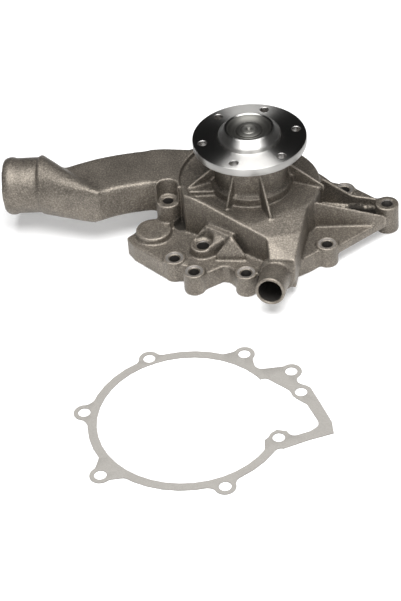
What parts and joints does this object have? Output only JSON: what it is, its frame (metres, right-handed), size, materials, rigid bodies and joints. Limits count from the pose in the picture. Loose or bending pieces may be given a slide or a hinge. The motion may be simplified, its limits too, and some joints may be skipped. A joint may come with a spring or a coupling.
{
  "type": "water pump",
  "caption": "Belt-driven engine water pump: cast housing with hose pipes, bolted hub flange on a bearing shaft, face seal, impeller and mounting gasket.",
  "frame": {"origin": "centre of the hub flange's front face, on the shaft axis", "axes": "+Z along the shaft, away from the engine; -X towards the large hose pipe; -Y towards the small front nozzle; the mounting plane is at z = -0.120 m"},
  "size_m": [0.4226, 0.5055, 0.132],
  "materials": {
    "cast_housing": "rough as-cast aluminium alloy, warm grey-brown",
    "turned_hub": "finely turned bright steel",
    "ground_steel": "ground bearing steel",
    "spring_steel": "spring steel",
    "cage_brass": "pressed brass",
    "seal_brass": "drawn brass",
    "seal_rubber": "black nitrile rubber",
    "carbon": "carbon graphite, matt",
    "ceramic": "sintered ceramic, lapped",
    "impeller_iron": "grey cast iron",
    "gasket_paper": "flat grey fibre gasket paper"
  },
  "bodies": {
    "casing": {"pump_housing": "cast_housing", "bearing_outer_ring": "ground_steel", "upper_bearing_seal": "seal_rubber", "lower_bearing_seal": "seal_rubber", "retaining_ring": "spring_steel", "seal_cup": "seal_brass", "seal_bellows": "seal_rubber", "seal_spring": "spring_steel"},
    "rotor": {"hub_flange": "turned_hub", "bearing_shaft": "ground_steel", "water_slinger": "seal_rubber", "mating_ring_cup": "seal_rubber", "mating_ring": "ceramic", "impeller": "impeller_iron"},
    "ball_row": {"bearing_balls": "ground_steel", "ball_cage": "cage_brass"},
    "roller_row": {"bearing_rollers": "ground_steel", "roller_cage": "cage_brass"},
    "seal_face": {"carbon_ring": "carbon", "spring_retainer": "spring_steel"},
    "gasket_sheet": {"gasket": "gasket_paper"}
  },
  "joints": [
    {"name": "shaft_spin", "type": "hinge", "parent": "casing", "child": "rotor", "pos_m": [0, 0, 0], "axis": [0, 0, 1], "continuous": true},
    {"name": "ball_row_orbit", "type": "hinge", "parent": "casing", "child": "ball_row", "pos_m": [0, 0, -0.027], "axis": [0, 0, 1], "continuous": true},
    {"name": "roller_row_orbit", "type": "hinge", "parent": "casing", "child": "roller_row", "pos_m": [0, 0, -0.044], "axis": [0, 0, 1], "continuous": true},
    {"name": "seal_face_travel", "type": "slide", "parent": "casing", "child": "seal_face", "axis": [0, 0, 1], "range_m": [0, 0.001], "stiffness_N_per_m": 2000, "springref_m": -0.004, "deforming": ["seal_spring", "seal_bellows"]},
    {"name": "gasket_lift", "type": "slide", "parent": "casing", "child": "gasket_sheet", "axis": [0, 0, 1], "range_m": [0, 0.02]}
  ],
  "couplings": [
    {"joint": "ball_row_orbit", "follows": "shaft_spin", "ratio": 0.358},
    {"joint": "roller_row_orbit", "follows": "shaft_spin", "ratio": 0.392}
  ]
}
